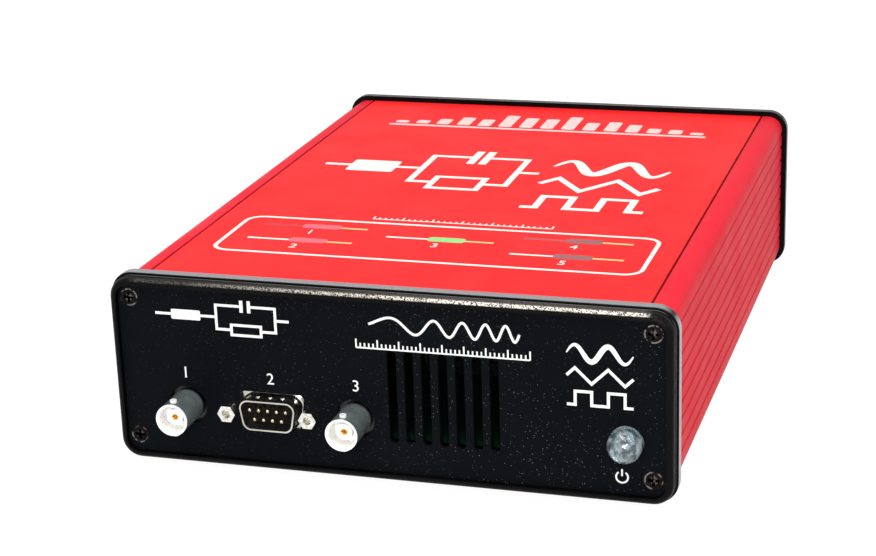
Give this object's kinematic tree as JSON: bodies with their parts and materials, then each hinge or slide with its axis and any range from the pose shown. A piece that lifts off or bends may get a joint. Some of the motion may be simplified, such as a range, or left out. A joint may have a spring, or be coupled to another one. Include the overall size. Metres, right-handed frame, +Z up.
{
  "type": "potentiostat",
  "caption": "Benchtop potentiostat in a red extruded case with black end frames, coaxial jacks, a D connector, vent slots and an indicator lamp.",
  "frame": {"origin": "centre of the whole object's footprint, at the underside of the feet", "axes": "+X to the right seen from the front, +Y to the rear along the case, +Z up"},
  "size_m": [0.1686, 0.2436, 0.0595],
  "materials": {
    "red_case": "bright red satin powder coat",
    "black_panel": "black powder coat with a fine sparkle",
    "black_bezel": "glossy black moulding",
    "screw_black": "black oxide",
    "nickel": "bright nickel plate",
    "jack_grey": "dark grey moulding",
    "white_insulator": "white moulding",
    "gold": "gold plate",
    "black_plastic": "black moulding",
    "clear_lens": "water-clear resin",
    "lead_frame": "tinned steel",
    "rubber_foot": "black rubber",
    "board_green": "green solder mask",
    "sink_black": "black anodised",
    "tin_plate": "tin plate",
    "relay_white": "white moulding",
    "capacitor_sleeve": "dark blue sleeve",
    "socket_white": "white moulding",
    "coil_copper": "enamelled copper",
    "lead_black": "black insulation"
  },
  "bodies": {
    "case": {"case_extrusion": "red_case", "top_cover": "red_case", "front_bezel": "black_bezel", "rear_bezel": "black_bezel", "front_panel": "black_panel", "rear_panel": "black_panel", "front_panel_screws": "screw_black", "rear_panel_screws": "screw_black", "rubber_feet": "rubber_foot", "dsub_shell": "nickel", "dsub_insulator": "black_plastic", "dsub_pins": "gold", "dsub_jackscrews": "nickel", "lamp_lens": "clear_lens", "lamp_leads": "lead_frame", "lamp_holder": "black_plastic", "main_board": "board_green", "heat_sink": "sink_black", "power_transistors": "black_plastic", "shield_can": "tin_plate", "relays": "relay_white", "processor_chip": "black_plastic", "signal_chips": "black_plastic", "capacitors": "capacitor_sleeve", "converters": "black_plastic", "wire_headers": "relay_white", "switch_leads": "lead_black", "fan_leads": "lead_black", "usb_shell": "nickel", "usb_core": "socket_white", "inlet_body": "black_plastic", "inlet_pin": "nickel", "switch_housing": "black_plastic", "switch_terminals": "nickel", "fan_frame": "black_plastic", "fan_stator": "coil_copper", "fan_screws": "screw_black", "fan_nuts": "tin_plate", "left_jack_housing": "jack_grey", "left_jack_sleeve": "nickel", "left_jack_insulator": "white_insulator", "left_jack_contact": "gold", "left_jack_studs": "nickel", "right_jack_housing": "jack_grey", "right_jack_sleeve": "nickel", "right_jack_insulator": "white_insulator", "right_jack_contact": "gold", "right_jack_studs": "nickel"},
    "rotor": {"fan_rotor": "black_plastic"},
    "rocker": {"switch_rocker": "black_plastic"}
  },
  "joints": [
    {"name": "fan_spin", "type": "hinge", "parent": "case", "child": "rotor", "pos_m": [0.035, 0.11046, 0.0342], "axis": [0, 1, 0], "continuous": true},
    {"name": "rocker_tilt", "type": "hinge", "parent": "case", "child": "rocker", "pos_m": [-0.06, 0.11566, 0.0302], "axis": [1, 0, 0], "range_deg": [-22, 0]}
  ]
}
